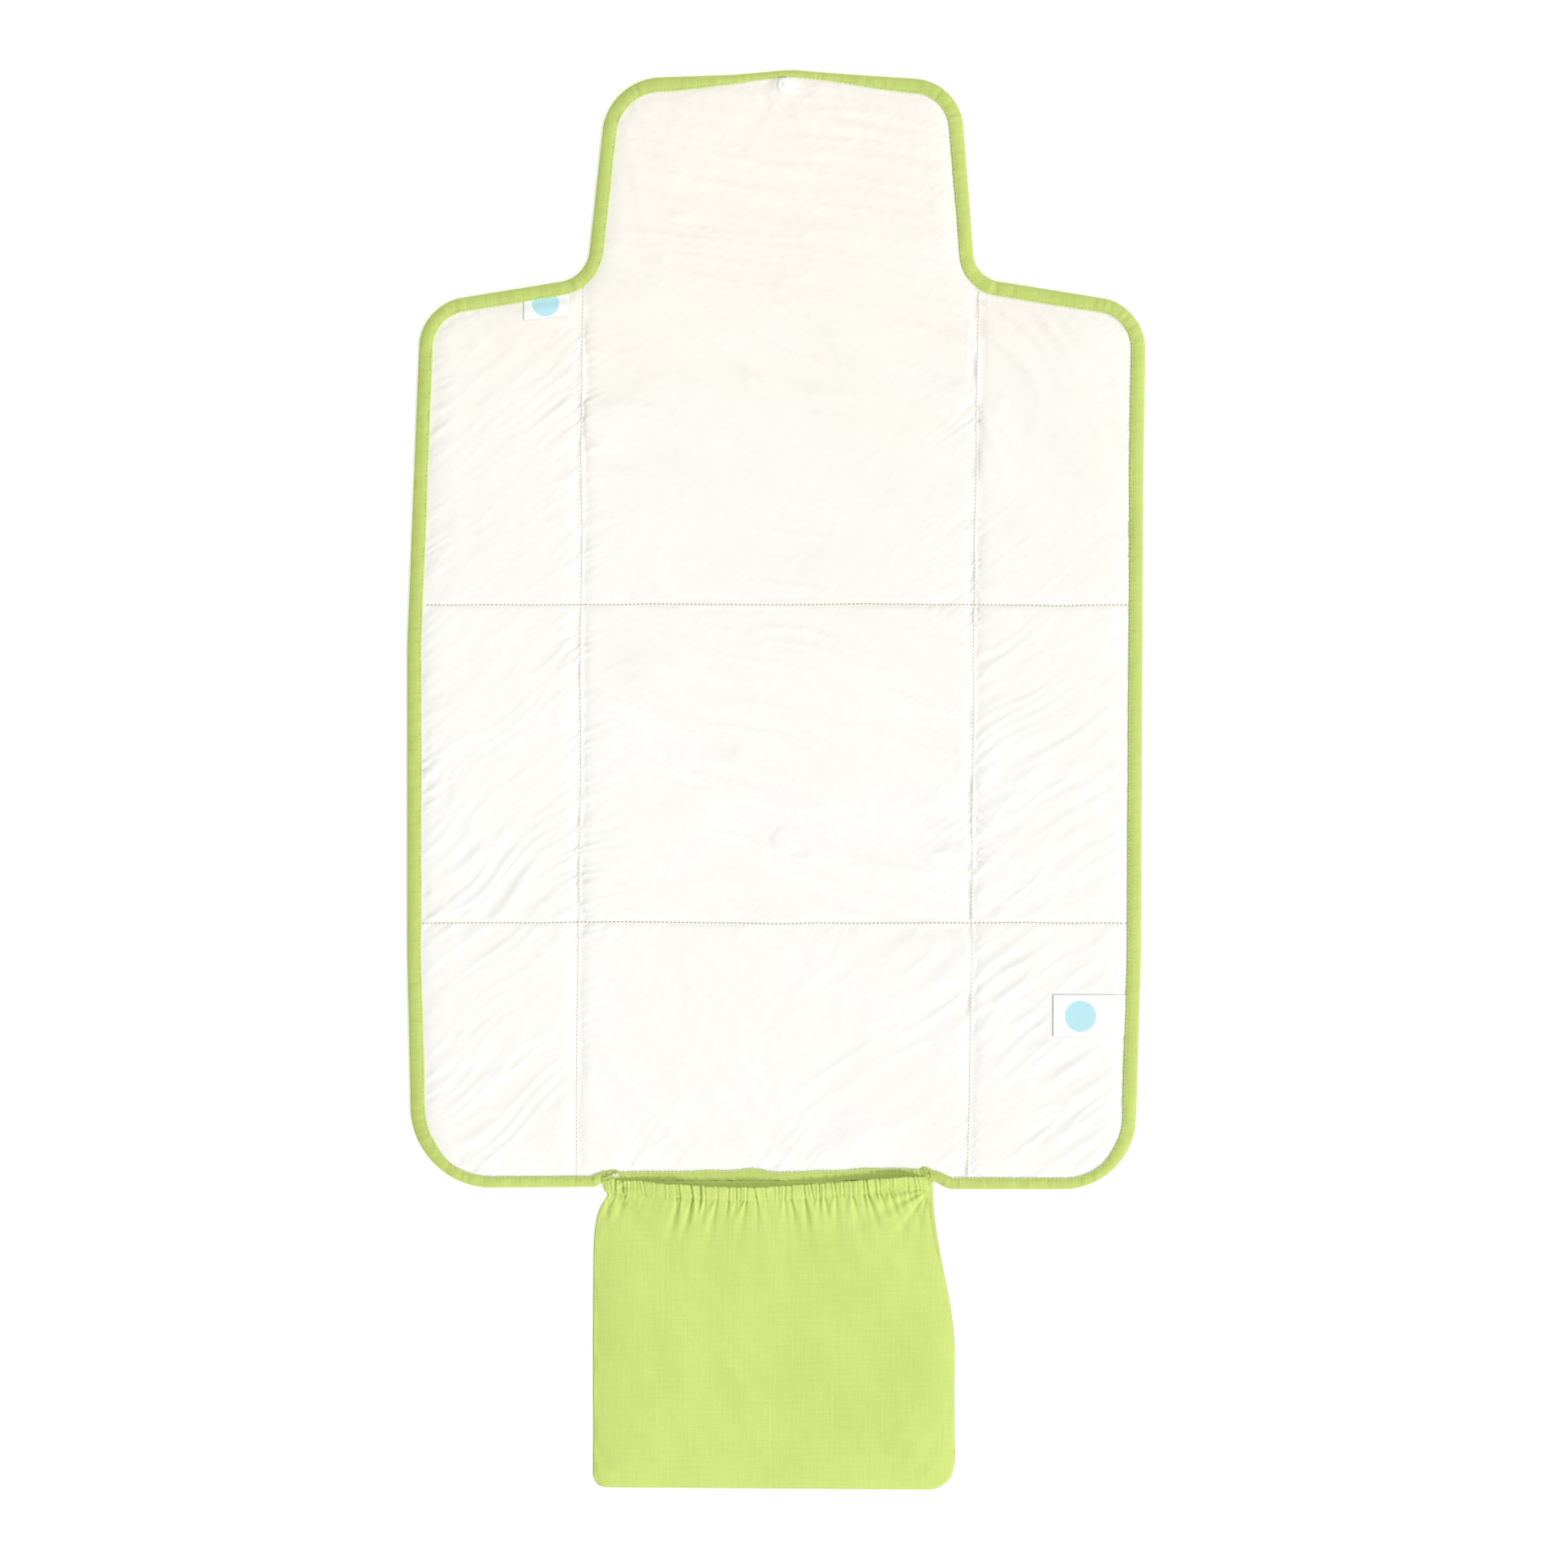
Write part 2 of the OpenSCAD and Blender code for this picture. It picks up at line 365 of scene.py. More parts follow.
def grained(name, scale, stretch, low, high, depth, strength, roughness):
    """A plain surface whose colour and relief both follow one fine grain."""
    paint = Paint(name)
    grain = paint.noise(scale, stretch)
    paint.colour(grain, low, high)
    paint.bump(grain, depth, strength)
    return paint.finish(roughness)


def thread(name, colour):
    darker = [c * 0.85 for c in colour]
    return grained(name, 1500, (1, 1, 0.3), darker, colour, 0.1 * MM, 1.0, 0.7)


def label_tape(name, centre, radius):
    """White woven tape with a plain pale blue disc."""
    paint = Paint(name)
    away = paint.node("VectorMath", operation="DISTANCE")
    paint.link(paint.scaled_place((1, 1, 0)), away.inputs[0])
    away.inputs[1].default_value = (*centre, 0)
    share = paint.math("DIVIDE", away.outputs["Value"], radius)
    paint.colour(share, (0.47, 0.78, 0.87), (0.93, 0.93, 0.93), 0.96, 1.0)
    paint.bump(paint.noise(1200, (0.3, 1, 1)), 0.12 * MM)
    return paint.finish(0.6)


def floor_paint():
    """A white floor that glows a little, so that it stays white around the mat."""
    paint = Paint("floor")
    paint.colour(paint.noise(4, detail=1), (0.985, 0.985, 0.985), (1, 1, 1))
    paint.give("Emission Color", (1, 1, 1, 1))
    paint.give("Emission Strength", 0.22)
    return paint.finish(0.9)


GREEN_LOW, GREEN_HIGH = (0.565, 0.705, 0.185), (0.65, 0.79, 0.228)
CREAM = cream_cloth()
GREEN = cotton("green_cotton")
# The tape is the green cotton made darker: painted shade over the tape's rounded crest.
SHADED_TAPE_GREEN = cotton("green_tape_painted_shade", 0.86, 0.9)
# The pouch's inside is the green cotton made darker: painted shade, where the pouch's front shades its
# inside.
POUCH_INSIDE_SHADED_GREEN = cotton("green_cotton_inside_painted_shade", 0.92, 0.96)
CREAM_THREAD = thread("cream_thread", (0.88, 0.85, 0.77))
# Beige thread for the seams that run across, made darker than the upright seams' thread as painted shade of
# the groove at these seams.
SEAM_SHADE_THREAD = thread("beige_thread_seam_shade", (0.60, 0.51, 0.33))
WHITE_THREAD = thread("white_thread", (0.9, 0.9, 0.9))
GREEN_THREAD = thread("green_thread", (0.70, 0.83, 0.36))
PLASTIC = grained("white_plastic", 600, (1, 1, 1), (0.93, 0.93, 0.92), (0.96, 0.96, 0.95),
                  0.02 * MM, 0.5, 0.5)
ELASTIC = grained("elastic", 900, (1, 0.1, 1), (0.8, 0.8, 0.78), (0.92, 0.92, 0.9), 0.2 * MM, 1.0, 0.8)


# ---- camera, floor and light

CAMERA_HEIGHT = 3.222
FLOOR_HALF = 60.0
FLOOR_DROP = 0.3 * MM
SUN_TILT, SUN_WIDTH = math.radians(-57), math.radians(14)


def place_camera():
    """A long lens, straight above the middle of the mat and its pouch."""
    data = bpy.data.cameras.new("camera")
    data.lens = 100
    data.sensor_width = 36
    cam = bpy.data.objects.new("camera", data)
    cam.location = (5.4 * MM, -2.4 * MM, CAMERA_HEIGHT)
    SCENE.collection.objects.link(cam)
    SCENE.camera = cam


def place_floor():
    corners = [(x * FLOOR_HALF, y * FLOOR_HALF, 0) for x, y in ((-1, -1), (1, -1), (1, 1), (-1, 1))]
    floor = new_object("floor", corners, [(0, 1, 2, 3)], floor_paint(), None, False)
    floor.location.z = -FLOOR_DROP


def light():
    """Soft daylight all round, and two wide suns from opposite sides."""
    world = bpy.data.worlds.new("studio")
    SCENE.world = world
    world.use_nodes = True
    background = world.node_tree.nodes["Background"]
    background.inputs["Color"].default_value = (1, 0.985, 0.955, 1)
    background.inputs["Strength"].default_value = 0.66
    for name, energy, turn in (("lower_window", 1.8, -140), ("upper_window", 0.75, -48)):
        sun = bpy.data.lights.new(name, "SUN")
        sun.energy = energy
        sun.angle = SUN_WIDTH
        lamp = bpy.data.objects.new(name, sun)
        lamp.rotation_euler = (SUN_TILT, 0, math.radians(turn))
        SCENE.collection.objects.link(lamp)
    view = SCENE.view_settings
    view.view_transform = "Standard"
    view.look = "None"


# ---- which body a place belongs to

def side_body(side, row):
    if side != "centre":
        return f"{side}_{row}_wing"
    return row + "_panel" if row in ("mid", "top", "bottom") else row


def column_of(x):
    if abs(x) < FOLD_X - BEND:
        return "centre"
    side = "left" if x < 0 else "right"
    return side + "_bend" if abs(x) < FOLD_X + BEND else side


def row_of(y):
    if y > FLAP_BEND[0]:
        return "flap" if y > FLAP_BEND[1] else "flap_bend"
    return ROWS[sum(y > e for e in ROW_EDGES[1:-1])]


def place_of(x, y):
    row = row_of(y)
    return ("centre", row) if row.startswith("flap") else (column_of(x), row)


def attach(obj, place):
    """Lets a piece ride on its body; a piece in a bend keeps its place in the world and rides on no body."""
    column, row = place
    if row in ("flap", "pouch"):
        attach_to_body(obj, row)
    elif row == "flap_bend":
        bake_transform(obj)
    elif column.endswith("_bend"):
        if column == "left_bend":
            side_body("centre", row)
            side_body("left", row)
            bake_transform(obj)
        else:
            side_body("right", row)
            side_body("centre", row)
            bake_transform(obj)
    else:
        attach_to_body(obj, side_body(column, row))


# ---- the quilted cloth

BEND_STEPS = [k * BEND / 6 for k in range(-6, 7)]
XS = between([MAT_LEFT - 3 * MM, *[-FOLD_X + d for d in BEND_STEPS], *[FOLD_X + d for d in BEND_STEPS],
              MAT_RIGHT + 3 * MM], GRID_X)
YS = between([MAT_BOTTOM - 3 * MM, LOWER_CREASES[0], LOWER_SEAM_Y, LOWER_CREASES[1], UPPER_CREASES[0],
              UPPER_SEAM_Y, UPPER_CREASES[1], *FLAP_BEND, MAT_TOP + 3 * MM], GRID_Y)
X, Y = np.meshgrid(XS, YS)
EDGE = edge_distance(X, Y).reshape(X.shape)
SEAM_Z = 1.5 * MM
CROWN = 2.3 * MM
SNAP = [sum(c) / 2 for c in zip(*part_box("snap_stud"))][:2]
SOCKET = [sum(c) / 2 for c in zip(*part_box("snap_socket"))][:2]
SNAP_SEAT_Z = 3.6 * MM
# How the folds at the left and at the right of each upright seam slant
UPRIGHT_SLANTS = ((0.8, -0.35), (0.8, 0.9))
# The quilt ends this far inside the outline, hidden in the tape
QUILT_MARGIN = 2.5 * MM


def seam_wander(t, seed):
    """How far a hand-guided seam strays from its line."""
    return 0.8 * MM * Noise(seed)(t / 0.09) + 0.4 * MM * Noise(seed + 1)(t / 0.03)


def upright_seam_x(side, y):
    """The seams up the mat lean outwards a little towards the head."""
    rise = (y - 0.03) / 0.33
    lean = (-145.3 + 2.3 * rise) * MM if side < 0 else (145.3 + 3.7 * rise) * MM
    return lean + seam_wander(y, 5 + side)


def level_seam_y(level, x):
    return (LOWER_SEAM_Y if level == 0 else UPPER_SEAM_Y) + seam_wander(x, 11 + level)


def seam_distances():
    """Signed distances to the seams that run up the mat and those that run across it."""
    up = [X - upright_seam_x(s, Y) for s in (-1, 1)]
    across = [Y - level_seam_y(k, X) for k in (0, 1)]
    return up, across


def cloth_to_settle(step):
    """The face as a slightly uneven cloth, held along its seams and its edge."""
    sx, sy = X[::step, ::step], Y[::step, ::step]
    z = np.random.default_rng(8).uniform(-0.3, 0.3, sx.shape) * MM
    verts = np.stack([sx, sy, z], -1).reshape(-1, 3)
    mesh = bpy.data.meshes.new("cloth_sim")
    mesh.from_pydata([tuple(v) for v in verts], [], grid_faces(*sx.shape))
    obj = bpy.data.objects.new("cloth_sim", mesh)
    SCENE.collection.objects.link(obj)
    up, across = seam_distances()
    near = np.minimum.reduce([np.abs(d) for d in up + across])
    held = (near < 2.6 * MM) | (EDGE < binding_width(X, Y))
    pins = obj.vertex_groups.new(name="held")
    pins.add([int(i) for i in np.flatnonzero(held[::step, ::step].ravel())], 1.0, "REPLACE")
    return obj


def add_cloth_physics(obj):
    """Light cotton, 3 percent too large for its place and without weight."""
    cloth = obj.modifiers.new("cloth", "CLOTH")
    s = cloth.settings
    s.quality = 5
    s.mass = 0.15
    s.tension_stiffness = 15
    s.compression_stiffness = 15
    s.shear_stiffness = 3
    s.bending_stiffness = 0.02
    s.shrink_min = -0.03
    s.vertex_group_mass = "held"
    s.effector_weights.gravity = 0
    cloth.collision_settings.use_collision = False


def settled_height(obj, steps):
    """The heights of the cloth's points after so many steps; the cloth itself is thrown away."""
    for f in range(1, steps + 1):
        SCENE.frame_set(f)
    got = obj.evaluated_get(bpy.context.evaluated_depsgraph_get())
    out = np.empty(len(obj.data.vertices) * 3)
    got.data.vertices.foreach_get("co", out)
    SCENE.frame_set(1)
    mesh = obj.data
    bpy.data.objects.remove(obj)
    bpy.data.meshes.remove(mesh)
    return out.reshape(-1, 3)[:, 2]


def on_full_grid(field, step):
    """Smoothly fills the grid from values on every so many lines of it."""
    rows, cols = field.shape
    rr = np.arange(X.shape[0]) / step
    cc = np.arange(X.shape[1]) / step
    r0 = np.minimum(rr.astype(int), rows - 2)
    c0 = np.minimum(cc.astype(int), cols - 2)
    fr = smooth(0, 1, np.clip(rr - r0, 0, 1))[:, None]
    fc = smooth(0, 1, np.clip(cc - c0, 0, 1))[None, :]
    return mixed(field, r0[:, None], c0[None, :], fr, fc)


def simulated_wrinkles():
    step = 2
    cloth = cloth_to_settle(step)
    add_cloth_physics(cloth)
    field = settled_height(cloth, 18).reshape(X[::step, ::step].shape)
    field = field / max(1e-9, np.percentile(np.abs(field), 97))
    return 0.2 * MM * np.clip(on_full_grid(field, step), -1.3, 1.3)


def creased(n):
    """Turns smooth noise into sharp crests between soft hollows."""
    return 0.75 - 2 * np.sqrt(np.abs(n) + 0.015)


def puckers(distance, along, seed, slant, reach=18 * MM):
    """Small folds that run away from a seam, slanted, and die out."""
    d = np.abs(distance)
    sideways = slant * d * (1 + 0.4 * Noise(seed + 6)(along / 0.05))
    lean = along + sideways + 3 * MM * Noise(seed + 7)(along / 0.02)
    fine = Noise(seed)(lean / (3.1 * MM)) * decay(d, 7) * 0.65 * MM
    broad = creased(Noise(seed + 1)(lean / (5.5 * MM), d / (30 * MM))) * np.exp(-d / reach) * 1.05 * MM
    patch = np.clip(0.55 + 0.9 * Noise(seed + 2)(along / 0.045), 0.08, 1.4)
    return (fine + broad) * patch


def streaks(degrees, seed, wide_mm, long_mm):
    """Soft wrinkles that all run in one direction."""
    wide, long = wide_mm * MM, long_mm * MM
    c, s = math.cos(math.radians(degrees)), math.sin(math.radians(degrees))
    along, across = X * c + Y * s, Y * c - X * s
    return Noise(seed)(across / wide + 0.9 * Noise(seed + 1)(along / long), along / long)


def crossed(sharp, share, soft):
    """Sharp wrinkles in one direction with a share of soft ones in a direction close to it."""
    return creased(streaks(*sharp)) + share * streaks(*soft)


def panel_wrinkles():
    """Wrinkles across the panels: up to the right at the sides, down to the right in the middle."""
    up, across = seam_distances()
    left = crossed((42, 301, 8, 55), 0.5, (30, 303, 6, 40))
    centre = crossed((-19, 305, 10, 80), 0.6, (-27, 307, 6, 50)) + 1.5 * streaks(-31, 321, 22, 95)
    low_left = crossed((-38, 325, 12, 60), 1.2, (-25, 327, 20, 70))
    low_right = crossed((36, 329, 12, 60), 1.2, (25, 331, 20, 70))
    middle = fade(-10, 50, X)
    low = low_left * (1 - middle) + low_right * middle
    flap = 0.5 * creased(streaks(-8, 323, 7, 90)) + 0.4 * streaks(-14, 333, 5, 60)
    to_flap = smooth(0.30, 0.40, Y)
    centre = np.where(across[0] < 0, low, centre * (1 - to_flap) + flap * to_flap)
    turn = smooth(0.16, 0.24, Y)
    upper = crossed((-38, 309, 11, 60), 1.2, (-45, 317, 20, 70))
    lower = crossed((36, 311, 7, 50), 0.5, (26, 313, 5, 35))
    right = 1.4 * upper * turn + 0.5 * lower * (1 - turn)
    patch = np.clip(0.6 + 0.9 * Noise(315)(X / 0.07, Y / 0.08), 0.2, 1.4)
    return 1.25 * MM * patch * np.where(up[0] < 0, 0.55 * left, np.where(up[1] > 0, right, centre))


def crowned_panels(up, across, edge):
    """Panels that rise between the seams, and the distance to the nearest seam or edge."""
    near_up = np.minimum(np.abs(up[0]), np.abs(up[1]))
    near_across = np.minimum(np.abs(across[0]), np.abs(across[1]))
    lift = (1 - 0.4 * bell(near_up, 5)) * (1 - 0.3 * decay(near_across, 2))
    z = SEAM_Z + CROWN * lift * (1 - 0.85 * decay(edge, 7))
    return z, np.minimum.reduce([near_up, near_across, edge])


def add_seam_folds(z, up, across, edge):
    """Small folds along the seams and the binding; the cloth dips at the seams that run across."""
    for k, (d, (left, right)) in enumerate(zip(up, UPRIGHT_SLANTS)):
        slant = np.where(d > 0, right, left)
        z += puckers(d, Y, 31 + 10 * k, slant) * fade(0.2, 2, np.abs(d))
    for k, d in enumerate(across):
        z += puckers(d, X, 61 + 10 * k, 0.5, 9 * MM) * 0.45 * fade(0.2, 2, np.abs(d))
        z -= 0.5 * MM * bell(d, 1.2) * fade(0, 3, edge)
    along = np.where((np.abs(X) > 0.24) | (EDGE >= 0.05), Y, X)
    z += puckers(edge, along, 91, -0.7) * fade(0, 2, edge) * np.where(X > 0.2, 1.5, 1)


def within_padding(z, near):
    """Softly keeps the height between flattened wadding and a little over the mat's thickness."""
    top = PAD_T + 0.7 * MM
    z = top - 0.35 * MM * np.logaddexp(0, (top - z) / (0.35 * MM))
    least = 1.2 * MM + 1.4 * MM * fade(0, 8, near)
    return least + 0.3 * MM * np.logaddexp(0, (z - least) / (0.3 * MM))


def add_snap_places(z, edge):
    """The cloth stays thick over the socket, folds point at the stud, and its seat is flat."""
    above_socket = fade(12, 7, np.hypot(X - SOCKET[0], Y - SOCKET[1]))
    z += (np.maximum(z, SNAP_SEAT_Z) - z) * above_socket
    away = np.hypot(X - SNAP[0], Y - SNAP[1])
    folds = creased(Noise(281)(np.arctan2(Y - SNAP[1], X - SNAP[0]) * 2.2 + 9))
    folds = folds * fade(6, 12, away) * decay(away, 22)
    z += folds * 0.9 * MM * fade(0, 8, edge)
    z += (SNAP_SEAT_Z - z) * fade(12, 6, away)


def face_height():
    """Height of the quilt's face everywhere on the grid."""
    up, across = seam_distances()
    edge = np.maximum(EDGE - binding_width(X, Y), 0)
    z, near = crowned_panels(up, across, edge)
    z += (simulated_wrinkles() + panel_wrinkles()) * fade(0, 4, near)
    add_seam_folds(z, up, across, edge)
    z = within_padding(z, near)
    add_snap_places(z, edge)
    z += (label_bed(edge) - z) * by_label(X, Y)
    rim = fade(-3, 2, EDGE - binding_width(X, Y))
    return z * rim + 1.2 * MM * (1 - rim)


def label_bed(edge):
    """Height of the cloth where a label lies on it, from the distance to the binding."""
    return 1.6 * MM + 2.0 * MM * fade(0, 9, edge)


def by_label(x, y):
    """One where a label lies on the cloth, fading to nought around it."""
    out = 0 * x
    for name in ("shoulder_label", "side_label"):
        low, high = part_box(name)
        off_x = np.maximum(np.maximum(low[0] - x, x - high[0]), 0)
        off_y = np.maximum(np.maximum(low[1] - y, y - high[1]), 0)
        out = np.maximum(out, fade(7, 1.5, np.hypot(off_x, off_y)))
    return out


def back_height():
    """The back is drawn in at the upright seams, and a little fuller in the middle than at the sides."""
    up, _ = seam_distances()
    near = np.minimum(np.abs(up[0]), np.abs(up[1]))
    z = 0.55 * MM * decay(near, 3.5) + 0.06 * MM * (1 + Noise(41)(X / 0.02, Y / 0.02))
    z -= 0.2 * MM * smooth(FOLD_X + BEND, FOLD_X - BEND, np.abs(X))
    return np.where(EDGE < BINDING_W, 0.35 * MM, z)


def grid_normals(z):
    dz_dy, dz_dx = np.gradient(z, YS, XS)
    n = np.stack([-dz_dx, -dz_dy, np.ones_like(z)], -1)
    return n / np.linalg.norm(n, axis=-1, keepdims=True)


def quilt():
    """Makes the quilt, one piece for each place, and gives the heights of its face and its back."""
    heights = {"face": face_height(), "back": back_height()}
    normals = {"face": grid_normals(heights["face"]), "back": -grid_normals(heights["back"])}
    middle_x, middle_y = (XS[1:] + XS[:-1]) / 2, (YS[1:] + YS[:-1]) / 2
    inside = EDGE > QUILT_MARGIN
    cell_in = inside[1:, 1:] & inside[:-1, 1:] & inside[1:, :-1] & inside[:-1, :-1]
    cells = {}
    for r, c in zip(*np.nonzero(cell_in)):
        cells.setdefault(place_of(middle_x[c], middle_y[r]), set()).add((int(r), int(c)))
    for place, group in cells.items():
        quilt_piece(place, group, heights, normals)
    return heights["face"], heights["back"]


def quilt_faces(group):
    """A piece's faces as (kind, corners), where a corner is a row, a column and a side of the quilt."""
    faces = []
    for r, c in sorted(group):
        ring = [(r, c), (r, c + 1), (r + 1, c + 1), (r + 1, c)]
        faces.append(("face", [(*p, "face") for p in ring]))
        faces.append(("back", [(*p, "back") for p in reversed(ring)]))
        for k, (dr, dc) in enumerate([(-1, 0), (0, 1), (1, 0), (0, -1)]):
            if (r + dr, c + dc) not in group:
                a, b = ring[k], ring[(k + 1) % 4]
                faces.append(("cut", [(*b, "face"), (*a, "face"), (*a, "back"), (*b, "back")]))
    return faces


def quilt_piece(place, group, heights, normals):
    """One stretch of the quilt: cream face, green back, and the surface's exact normals on both."""
    faces = quilt_faces(group)
    spots = dict.fromkeys(corner for _, corners in faces for corner in corners)
    index = {corner: i for i, corner in enumerate(spots)}
    verts = [(XS[c], YS[r], heights[side][r, c]) for r, c, side in index]
    column, row = place
    polygons = [[index[corner] for corner in corners] for _, corners in faces]
    obj = new_object(f"quilt_{column}_{row}", verts, polygons, CREAM, "cream_face")
    mesh = obj.data
    mesh.materials.append(GREEN)
    mesh.polygons.foreach_set("material_index", [0 if kind == "face" else 1 for kind, _ in faces])
    mesh.update()
    exact = []
    for poly, (kind, corners) in zip(mesh.polygons, faces):
        for r, c, side in corners:
            exact.append(tuple(poly.normal if kind == "cut" else normals[side][r, c]))
    mesh.normals_split_custom_set(exact)
    attach(obj, place)
    stand_for(column, row)


def stand_for(column, row):
    """The CAD nodes that a quilted piece takes the place of."""
    if row == "flap_bend" or column.endswith("_bend"):
        return
    prefix = "" if column == "centre" else column + "_"
    if row.endswith("strip"):
        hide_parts(f"{prefix}{row.replace('_strip', '_fold_strip')}")
    else:
        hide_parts(*[f"{prefix}{row}_{layer}" for layer in ("face_cloth", "wadding", "backing")])


# ---- bias binding

def cut_lines():
    """The lines where the mat is divided between bodies, as (axis, value)."""
    across = [(0, s * (FOLD_X + k * BEND)) for s in (-1, 1) for k in (-1, 1)]
    return across + [(1, y) for y in (*LOWER_CREASES, *UPPER_CREASES, *FLAP_BEND)]


def divided_outline():
    """The outline with an extra point wherever it crosses a dividing line."""
    points = []
    for a, b in zip(OUTLINE, np.roll(OUTLINE, -1, axis=0)):
        stops = [0.0]
        for axis, value in cut_lines():
            if (a[axis] - value) * (b[axis] - value) < 0:
                stops.append((value - a[axis]) / (b[axis] - a[axis]))
        points += [a + (b - a) * t for t in sorted(stops)]
    return np.array(points)


def at_mouth(x, y):
    """One along the stretch of edge that carries the pouch, nought elsewhere."""
    return fade(-130, -123, x) * fade(121, 113, x) * fade(-270, -280, y)


def binding_width(x, y):
    """The tape shows less of itself along the flap's top and along the bottom."""
    on_top = smooth(MAT_TOP - 30 * MM, MAT_TOP - 10 * MM, y) * smooth(0.095, 0.012, np.abs(x - 0.008))
    low = smooth(MAT_BOTTOM + 30 * MM, MAT_BOTTOM + 8 * MM, y)
    bulge = 2.2 * np.exp(-((x - 0.085) / 0.03) ** 2) + 1.5 * np.exp(-((x + 0.02) / 0.014) ** 2)
    return (10.4 - 5.0 * on_top - 2.3 * low - (0.9 - bulge) * at_mouth(x, y)) * MM


# Section of the folded tape, from its inner edge on top round to its inner edge underneath:
# share of the width from the mat's edge, height in millimetres, share of the puckers
TAPE = [(1.0, 1.9, 0.3), (0.97, 2.5, 0.5), (0.88, 2.75, 0.5), (0.72, 3.2, 1.0), (0.5, 3.15, 1.0),
        (0.28, 2.75, 0.9), (0.1, 2.05, 0.6), (0.0, 1.35, 0.3), (0.02, 0.75, 0.1), (0.12, 0.25, 0.0),
        (0.35, 0.05, 0.0), (0.85, 0.05, 0.0), (0.97, 0.12, 0.0), (0.97, 0.8, 0.0)]
TAPE_FRONT = 9


def edge_directions(path):
    """The directions along the outline and into the mat, and the way gone so far."""
    tangent = np.roll(path, -1, axis=0) - np.roll(path, 1, axis=0)
    tangent /= np.linalg.norm(tangent, axis=1, keepdims=True)
    inward = np.stack([-tangent[:, 1], tangent[:, 0]], 1)
    s = np.concatenate([[0], np.cumsum(np.linalg.norm(np.diff(path, axis=0), axis=1))])
    return tangent, inward, s


def tightness(path, tangent):
    """The tape puckers more in bends, and where the ends of the mouth are sewn down."""
    ahead, behind = (np.arctan2(*np.roll(tangent, k, axis=0).T[::-1]) for k in (-5, 5))
    turn = (ahead - behind + np.pi) % (2 * np.pi) - np.pi
    tight = 1 + 1.6 * smooth(0.05, 0.4, -turn) + 0.5 * smooth(0.05, 0.3, turn)
    near_tack = np.minimum(np.abs(path[:, 0] + 128 * MM), np.abs(path[:, 0] - 119 * MM))
    return tight + 1.6 * bell(near_tack, 6) * (path[:, 1] < -0.28)


def binding_rings(path, inward, s, width, tight):
    """The section of the tape at every point of the outline, level along the creases."""
    flat = at_mouth(path[:, 0], path[:, 1])
    fold = (0.6 * Noise(102)(s / (3.2 * MM)) + 0.4 * Noise(103)(s / (9 * MM))) * tight
    rings = []
    for k, (share, height, give) in enumerate(TAPE):
        if k < TAPE_FRONT:
            height = height * (1 - flat) + (0.95 + 1.1 * share) * flat
        z = height * MM + give * 0.62 * MM * fold * (1 if share < 0.9 else 0.6) * (1 - 0.7 * flat)
        slide = 0.32 * MM * give * Noise(110 + k % 3)(s / (6 * MM)) * tight
        into = np.maximum(0, share * width + slide) if share > 0 else 0 * s
        rings.append(np.stack([path[:, 0] + inward[:, 0] * into, path[:, 1] + inward[:, 1] * into,
                               np.maximum(z, 0)], 1))
    rings = np.stack(rings, 1)
    for y in (*LOWER_CREASES, *UPPER_CREASES):
        rings[np.abs(path[:, 1] - y) < 0.01 * MM, :, 1] = y
    return rings


def runs_by_place(path):
    """The points of each stretch of the outline, gathered by the place it lies in."""
    n = len(path)
    places = [place_of(*middle) for middle in (path + np.roll(path, -1, axis=0)) / 2]
    start = next(i for i in range(n) if places[i] != places[i - 1])
    runs = []
    for i in [*range(start, n), *range(start)]:
        if runs and places[i] == runs[-1][0]:
            runs[-1][1].append(i)
        else:
            runs.append((places[i], [i]))
    groups = {}
    for place, run in runs:
        groups.setdefault(place, []).append(run + [(run[-1] + 1) % n])
    return groups


def binding():
    """The folded tape all round, and the line that its stitches follow."""
    path = divided_outline()
    tangent, inward, s = edge_directions(path)
    width = binding_width(path[:, 0], path[:, 1]) + 0.35 * MM * Noise(101)(s / 0.045)
    width += at_mouth(path[:, 0], path[:, 1]) * 0.9 * MM * Noise(99)(s / 0.016)
    rings = binding_rings(path, inward, s, width, tightness(path, tangent))
    for place, parts in runs_by_place(path).items():
        binding_piece(place, parts, rings)
    stitch_line = path + inward * (width * 0.93)[:, None]
    return stitch_line, tangent, s


def binding_piece(place, parts, rings):
    verts, faces = [], []
    k = len(TAPE)
    for run in parts:
        base = len(verts)
        for i in run:
            verts += list(rings[i])
        for a in range(len(run) - 1):
            p, q = base + a * k, base + (a + 1) * k
            faces += [(p + j, q + j, q + (j + 1) % k, p + (j + 1) % k) for j in range(k)]
        for i, order in ((run[0], range(k)), (run[-1], reversed(range(k)))):
            faces.append(tuple(len(verts) + j for j in order))
            verts += list(rings[i])
    column, row = place
    # The tape carries painted shade: its green is darker than the quilt's green cotton.
    obj = new_object(f"binding_{column}_{row}", verts, faces, SHADED_TAPE_GREEN, "green_cloth")
    attach(obj, place)
    if row == "flap_bend":
        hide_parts("neck_binding")
    elif row == "flap":
        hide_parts("flap_binding")
    elif place == ("centre", "bottom"):
        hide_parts("bottom_binding")
    elif column in ("left", "right") and not row.endswith("strip"):
        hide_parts(f"{column}_{row}_binding")


# ---- stitching

def height_on(field, x, y):
    """Bilinear height of the quilted cloth at any place."""
    c = np.clip(np.searchsorted(XS, x) - 1, 0, len(XS) - 2)
    r = np.clip(np.searchsorted(YS, y) - 1, 0, len(YS) - 2)
    f = (x - XS[c]) / (XS[c + 1] - XS[c])
    g = (y - YS[r]) / (YS[r + 1] - YS[r])
    return mixed(field, r, c, g, f)


